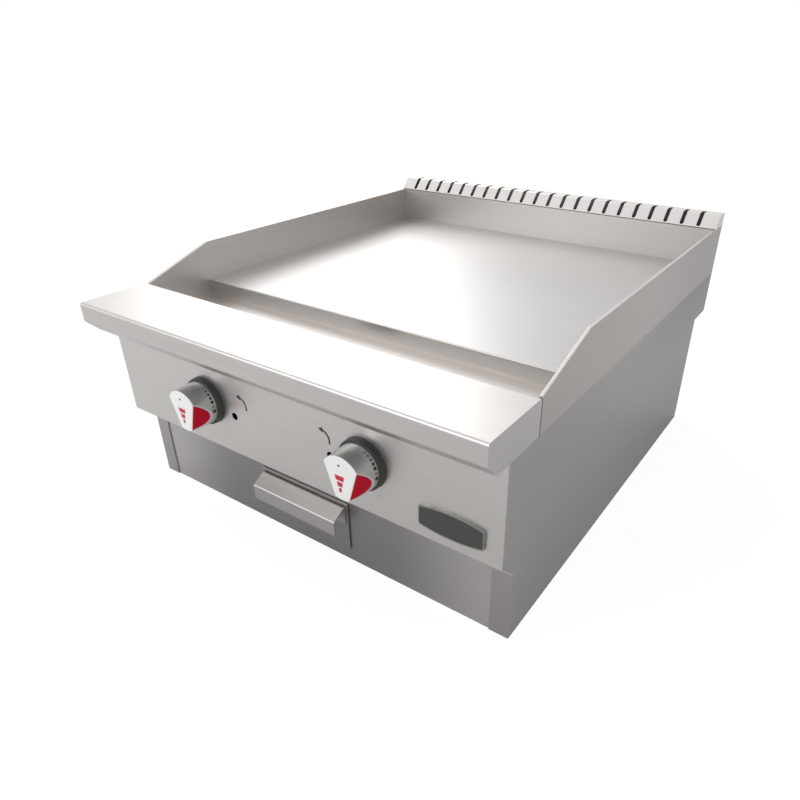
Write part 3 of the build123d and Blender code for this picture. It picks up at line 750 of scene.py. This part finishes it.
class GriddleDetails(bpy.types.PropertyGroup):
    """Sizes of the small pieces."""

    print_height: length_property("Print height", "How far printed marks stand up", 0.00012)
    arrow_radius: length_property("Arrow radius", "Radius of the turning arrows on the panel", 0.0128)
    arrow_line: length_property("Arrow line", "Width of the arrows' line", 0.0025)
    arrow_gap: length_property("Arrow distance", "From a knob's axis to its arrow's centre, across", 0.0615)
    arrow_rise: length_property("Arrow rise", "From a knob's axis up to its arrow's centre", 0.0095)
    scale_first: turn_property("Scale start", "Turn of the first square", 0.35)
    scale_step: turn_property("Scale step", "Turn between two squares", 0.18)
    scale_count: IntProperty(
        name="Squares", description="Squares on each knob's skirt", default=5, min=2, max=12
    )
    square_largest: length_property("Largest square", "Side of the first square", 0.0038)
    square_smallest: length_property("Smallest square", "Side of the last square", 0.0016)
    driver: length_property("Driver", "Length of the screws' cross recess", 0.0044)
    thread_pitch: length_property("Thread pitch", "Pitch of the inlet's pipe thread", 0.0018)
    thread_depth: length_property("Thread depth", "Radius of the thread's ridge", 0.0006)
    thread_length: length_property("Thread length", "Threaded length of the inlet", 0.017)


class GriddleStudio(bpy.types.PropertyGroup):
    """Floor, lamps and camera."""

    floor: length_property("Floor", "Length of the floor's sides", 16.0)
    floor_grey: strength_property("Floor grey", "How pale the floor is under the object's shadow", 0.86)
    floor_white: strength_property("Floor white", "Share of plain white that the camera sees", 0.8)
    floor_mirrored: strength_property("Floor mirrored", "Share of plain white in reflections", 0.15)
    floor_glow: strength_property("Floor glow", "Strength of the plain white", 1.12)
    ambient: strength_property("Ambient", "Strength of the surroundings", 0.63)
    lamp_aim: place_property("Aim", "The point that both lamps face", (0.0, -0.05, 0.2))
    key_place: place_property("Key place", "Where the lamp behind stands", (-1.92, 1.66, 1.95))
    key_size: length_property("Key size", "Side of the lamp behind", 1.8)
    key_power: strength_property("Key power", "Power of the lamp behind", 27.0, "POWER")
    fill_place: place_property("Fill place", "Where the lamp in front stands", (-1.5, -2.7, 1.45))
    fill_size: length_property("Fill size", "Side of the lamp in front", 1.6)
    fill_power: strength_property("Fill power", "Power of the lamp in front", 27.0, "POWER")
    camera_place: place_property("Camera", "Where the camera stands", (0.529314, -0.780867, 0.581734))
    camera_turn: turn_property("Camera turn", "Turn about the upright", math.radians(34.627))
    camera_dip: turn_property("Camera dip", "Angle below level", math.radians(29.952))
    camera_roll: turn_property("Camera roll", "Turn about its own line", math.radians(-0.087))
    lens: FloatProperty(
        name="Lens", description="Focal length in millimetres", default=29.518, unit="CAMERA"
    )
    shift: FloatVectorProperty(
        name="Shift", description="The view's shift across and up", default=(-0.0393, 0.0276), size=2
    )


# --- Operators ---------------------------------------------------------------------------

class GRIDDLE_OT_finishes(bpy.types.Operator):
    """Give every CAD part the finish of its material slot"""

    bl_idname = "griddle.finishes"
    bl_label = "Finishes"

    def execute(self, context):
        looks = context.scene.griddle_finishes
        # Painted light and shade: these parts are lighter or darker copies of the same steel, some with
        # painted shade masks.
        own = {
            ("front_ledge",): brushed_steel("ledge_steel", painted_light_tone(looks.front, "ledge"), "X", 0.4),
            ("lower_front_panel", "drawer_front"): brushed_steel(
                "apron_steel", painted_light_tone(looks.front, "apron"), "X", 0.4, painted_shade_apron
            ),
            ("side_panel_left", "side_panel_right"): brushed_steel(
                "side_steel", looks.body, "Y", 0.42, painted_shade_side
            ),
            ("rear_splash",): brushed_steel("splash_steel", painted_light_tone(looks.guard, "splash"), "X", 0.42),
            ("flue_cover",): brushed_steel("flue_steel", painted_light_tone(looks.front, "flue"), "X", 0.38),
        }
        for names, material in own.items():
            dress(names, material)
        done = {name for names in own for name in names}
        made = {}
        for name in sorted(set(NODES) - done):
            slot = node_slot(name)
            if slot not in made:
                made[slot] = finish_of_slot(slot, looks)
            dress([name], made[slot])
        return {"FINISHED"}


class GRIDDLE_OT_arrows(bpy.types.Operator):
    """Print a turning arrow on the control panel beside each knob"""

    bl_idname = "griddle.arrows"
    bl_label = "Panel arrows"

    def execute(self, context):
        looks, sizes = context.scene.griddle_finishes, context.scene.griddle_details
        ink = moulded("arrow_print", looks.marks, 0.5)
        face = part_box("control_panel")[0].y
        for side, sign in (("left", 1), ("right", -1)):
            across, up, _, _ = knob_axis(side)
            middle = (across + sign * sizes.arrow_gap, up + sizes.arrow_rise)
            bm = bmesh.new()
            for outline in arrow_outlines(middle, sizes.arrow_radius, sizes.arrow_line):
                add_tablet(bm, outline, -FLAT_SINK, sizes.print_height, lambda u, v, h: (u, face - h, v))
            new_piece("arrow_" + side, bm, ink, "chassis")
        return {"FINISHED"}


def arrow_outlines(middle, radius, line):
    """A quarter turn from the right up to the top, with a head that points left."""
    across, up = middle
    turns = [math.radians(ARROW_START + ARROW_SWEEP * i / ARROW_STEPS) for i in range(ARROW_STEPS + 1)]
    outer, inner = (
        [(across + reach * math.cos(turn), up + reach * math.sin(turn)) for turn in turns]
        for reach in (radius + line / 2, radius - line / 2)
    )
    top = up + radius
    head = [
        (across - 1.3 * line, top + 0.1 * line),
        (across + 1.3 * line, top - 1.5 * line),
        (across + 1.3 * line, top + 1.3 * line),
    ]
    quads = [[outer[i], outer[i + 1], inner[i + 1], inner[i]] for i in range(ARROW_STEPS)]
    return [*quads, head]


class GRIDDLE_OT_knob_marks(bpy.types.Operator):
    """Print the flame blocks on the knobs' faces and the heat scale on their skirts"""

    bl_idname = "griddle.knob_marks"
    bl_label = "Knob marks"

    def execute(self, context):
        looks, sizes = context.scene.griddle_finishes, context.scene.griddle_details
        red = moulded("flame_print", looks.flame, 0.4, lumps=1200.0, depth=0.00002, coat=0.3)
        black = moulded("scale_print", looks.marks, 0.5)
        for side in ("left", "right"):
            across, up, front, rear = knob_axis(side)
            self.face_marks(side, across, up, front, sizes.print_height, red, black)
            self.skirt_marks(side, across, up, rear, sizes, black)
        return {"FINISHED"}

    def face_marks(self, side, across, up, front, height, red, black):
        """Three blocks that shrink downwards, and a dot above them."""

        def on_face(u, v, h):
            return (across + (u - FACE_OFFSET) * MILLIMETRE, front - h, up + v * MILLIMETRE)

        bm = bmesh.new()
        for top, foot, wide, narrow in FLAME_BLOCKS:
            outline = [(-wide, top), (wide, top), (narrow, foot), (-narrow, foot)]
            add_tablet(bm, outline, -FLAT_SINK, height, on_face)
        new_piece("flame_marks_" + side, bm, red, "knob_" + side)
        bm = bmesh.new()
        add_tablet(bm, circle(0.0, FACE_DOT_RISE, FACE_DOT_RADIUS), -FLAT_SINK, height, on_face)
        new_piece("face_dot_" + side, bm, black, "knob_" + side)

    def skirt_marks(self, side, across, up, rear, sizes, black):
        """A dot, a bar and shrinking squares round the side that faces away from the grips."""
        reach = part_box("knob_bezel_" + side)[1].x - across - SKIRT_INSET
        depth = rear - SKIRT_DEPTH
        ends = (sizes.square_largest, sizes.square_smallest)
        pattern = scale_pattern(sizes.scale_count, sizes.scale_first, sizes.scale_step, reach, *ends, black)
        mesh = pattern.bake("heat_scale_" + side, single_point())
        upright = Matrix(((1, 0, 0, across), (0, 0, 1, depth), (0, 1, 0, up), (0, 0, 0, 1)))
        mesh.transform(upright)
        mesh.flip_normals()
        placed("heat_scale_" + side, mesh, "knob_" + side)

        def on_skirt(u, v, h):
            turn = u / reach
            return (across + (reach + h) * math.cos(turn), depth + v, up + (reach + h) * math.sin(turn))

        bm = bmesh.new()
        dot = circle(OFF_DOT_TURN * reach, 0.0, OFF_DOT_RADIUS)
        near = OFF_BAR_TURN * reach - OFF_BAR_HALF_WIDTH
        far = OFF_BAR_TURN * reach + OFF_BAR_HALF_WIDTH
        long = OFF_BAR_HALF_LENGTH
        bar = [(near, -long), (far, -long), (far, long), (near, long)]
        for outline in (dot, bar):
            add_tablet(bm, outline, -ROUND_SINK, sizes.print_height, on_skirt)
        new_piece("scale_off_" + side, bm, black, "knob_" + side)


class GRIDDLE_OT_screws(bpy.types.Operator):
    """Put pan head screws in place of the plain heads"""

    bl_idname = "griddle.screws"
    bl_label = "Screws"

    def execute(self, context):
        sizes = context.scene.griddle_details
        steel = turned_metal("screw_steel", SCREW_STEEL, 0.3)
        for node, facing in (("shell_screws", Vector((0, 1, 0))), ("bracket_screws", Vector((0, 0, 1)))):
            boxes = islands(node)
            axis = 1 if facing.y else 2
            low, high = boxes[0]
            radius = (high.x - low.x) / 2
            height = high[axis] - low[axis]
            points = bpy.data.meshes.new("places")
            middles = [(low + high) / 2 - facing * height / 2 for low, high in boxes]
            points.from_pydata([tuple(m) for m in middles], [], [])
            aims = points.attributes.new("facing", "FLOAT_VECTOR", "POINT")
            for row in aims.data:
                row.vector = facing
            pattern = screw_pattern(radius, height, min(sizes.driver, radius * 1.05), steel)
            name = node.replace("_screws", "_screw_heads")
            made = placed(name, pattern.bake(name, points), "chassis")
            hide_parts(node)
        return {"FINISHED"}


class GRIDDLE_OT_thread(bpy.types.Operator):
    """Cut a tapered pipe thread on the gas inlet"""

    bl_idname = "griddle.thread"
    bl_label = "Inlet thread"

    def execute(self, context):
        sizes = context.scene.griddle_details
        iron = scaled_steel("thread_iron", THREAD_IRON, 0.7, 0.4, 520.0)
        low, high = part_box("gas_inlet_nipple")
        radius = (high.x - low.x) / 2
        length = sizes.thread_length
        pattern = thread_pattern(radius, sizes.thread_pitch, sizes.thread_depth, length, iron)
        mesh = pattern.bake("inlet_thread", single_point())
        start = high.y - length - THREAD_END
        middle = ((low.x + high.x) / 2, start, (low.z + high.z) / 2)
        mesh.transform(Matrix.Translation(middle) @ Matrix.Rotation(-math.pi / 2, 4, "X"))
        placed("inlet_thread", mesh, "chassis")
        return {"FINISHED"}


class GRIDDLE_OT_studio(bpy.types.Operator):
    """Set the floor, surroundings, lamps and camera"""

    bl_idname = "griddle.studio"
    bl_label = "Studio"

    def execute(self, context):
        studio = context.scene.griddle_studio
        context.scene.view_settings.view_transform = "Standard"
        self.floor(studio)
        self.surroundings(context.scene, studio)
        self.lamps(studio)
        self.camera(context.scene, studio)
        return {"FINISHED"}

    def floor(self, studio):
        """A pale floor that keeps the object's shadow and is near white to the camera."""
        bm = bmesh.new()
        bmesh.ops.create_grid(bm, x_segments=1, y_segments=1, size=studio.floor / 2)
        mesh = bpy.data.meshes.new("floor")
        bm.to_mesh(mesh)
        bm.free()
        made, nodes = new_material("floor_white")
        path = nodes.add("ShaderNodeLightPath")
        seen = path.most(path.beside("Is Transmission Ray")) * studio.floor_white
        seen = seen + path.beside("Is Glossy Ray") * studio.floor_mirrored
        grey = (studio.floor_grey, studio.floor_grey, studio.floor_grey, 1.0)
        dull = nodes.add("ShaderNodeBsdfDiffuse", {}, {"Color": grey})
        white = nodes.add("ShaderNodeEmission", {}, {"Color": PLAIN_WHITE, "Strength": studio.floor_glow})
        both = nodes.add("ShaderNodeMixShader", {}, {0: seen, 1: dull, 2: white})
        nodes.add("ShaderNodeOutputMaterial", {}, {"Surface": both})
        mesh.materials.append(made)
        floor = bpy.data.objects.new("floor", mesh)
        bpy.context.scene.collection.objects.link(floor)

    def surroundings(self, scene, studio):
        """An even white room, white to the camera and in reflections."""
        scene.world = bpy.data.worlds.new("surroundings")
        scene.world.use_nodes = True
        scene.world.node_tree.nodes.clear()
        nodes = Nodes(scene.world.node_tree)
        path = nodes.add("ShaderNodeLightPath")
        seen = path.most(path.beside("Is Glossy Ray")).most(path.beside("Is Transmission Ray"))
        strength = studio.ambient + seen * (1.0 - studio.ambient)
        room = nodes.add("ShaderNodeBackground", {}, {"Color": PLAIN_WHITE, "Strength": strength})
        nodes.add("ShaderNodeOutputWorld", {}, {"Surface": room})

    def lamps(self, studio):
        """Two square lamps on the left, one behind the object and one in front."""
        for name, place, size, power in (
            ("key", studio.key_place, studio.key_size, studio.key_power),
            ("fill", studio.fill_place, studio.fill_size, studio.fill_power),
        ):
            lamp = bpy.data.lights.new(name, "AREA")
            lamp.shape = "SQUARE"
            lamp.size = size
            lamp.energy = power
            made = bpy.data.objects.new(name, lamp)
            made.location = place
            made.rotation_euler = (Vector(place) - Vector(studio.lamp_aim)).to_track_quat("Z", "Y").to_euler()
            bpy.context.scene.collection.objects.link(made)

    def camera(self, scene, studio):
        """The camera, from its place, turn, dip and roll."""
        turn, dip, roll = studio.camera_turn, studio.camera_dip, studio.camera_roll
        ahead = Vector((-math.sin(turn) * math.cos(dip), math.cos(turn) * math.cos(dip), -math.sin(dip)))
        right = Vector((math.cos(turn), math.sin(turn), 0.0))
        up = right.cross(ahead)
        across = math.cos(roll) * right + math.sin(roll) * up
        upright = -math.sin(roll) * right + math.cos(roll) * up
        lens = bpy.data.cameras.new("camera")
        lens.sensor_width = 36.0
        lens.lens = studio.lens
        lens.shift_x, lens.shift_y = studio.shift
        lens.clip_start = 0.02
        made = bpy.data.objects.new("camera", lens)
        place = Matrix((across, upright, -ahead)).transposed().to_4x4()
        made.matrix_world = Matrix.Translation(studio.camera_place) @ place
        bpy.context.scene.collection.objects.link(made)
        scene.camera = made


class GRIDDLE_PT_panel(bpy.types.Panel):
    """Lists the griddle's steps in the order they are made"""

    bl_idname = "GRIDDLE_PT_panel"
    bl_label = "Griddle"
    bl_space_type = "VIEW_3D"
    bl_region_type = "UI"
    bl_category = "Griddle"

    def draw(self, context):
        for step in STEPS:
            self.layout.operator(step.bl_idname)
        for group_name, group in GROUPS.items():
            box = self.layout.box()
            for name in group.__annotations__:
                box.prop(getattr(context.scene, group_name), name)


STEPS = (
    GRIDDLE_OT_finishes,
    GRIDDLE_OT_arrows,
    GRIDDLE_OT_knob_marks,
    GRIDDLE_OT_screws,
    GRIDDLE_OT_thread,
    GRIDDLE_OT_studio,
)
GROUPS = {
    "griddle_finishes": GriddleFinishes,
    "griddle_details": GriddleDetails,
    "griddle_studio": GriddleStudio,
}


def register():
    for made in (*GROUPS.values(), *STEPS, GRIDDLE_PT_panel):
        bpy.utils.register_class(made)
    for name, group in GROUPS.items():
        setattr(bpy.types.Scene, name, PointerProperty(type=group))


def unregister():
    for name in GROUPS:
        delattr(bpy.types.Scene, name)
    for made in (GRIDDLE_PT_panel, *reversed(STEPS), *reversed(GROUPS.values())):
        bpy.utils.unregister_class(made)


def main():
    """Makes every piece and the studio."""
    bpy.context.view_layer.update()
    register()
    bpy.ops.griddle.finishes()
    bpy.ops.griddle.arrows()
    bpy.ops.griddle.knob_marks()
    bpy.ops.griddle.screws()
    bpy.ops.griddle.thread()
    bpy.ops.griddle.studio()
    bpy.context.view_layer.update()


if __name__ == "__main__":
    main()
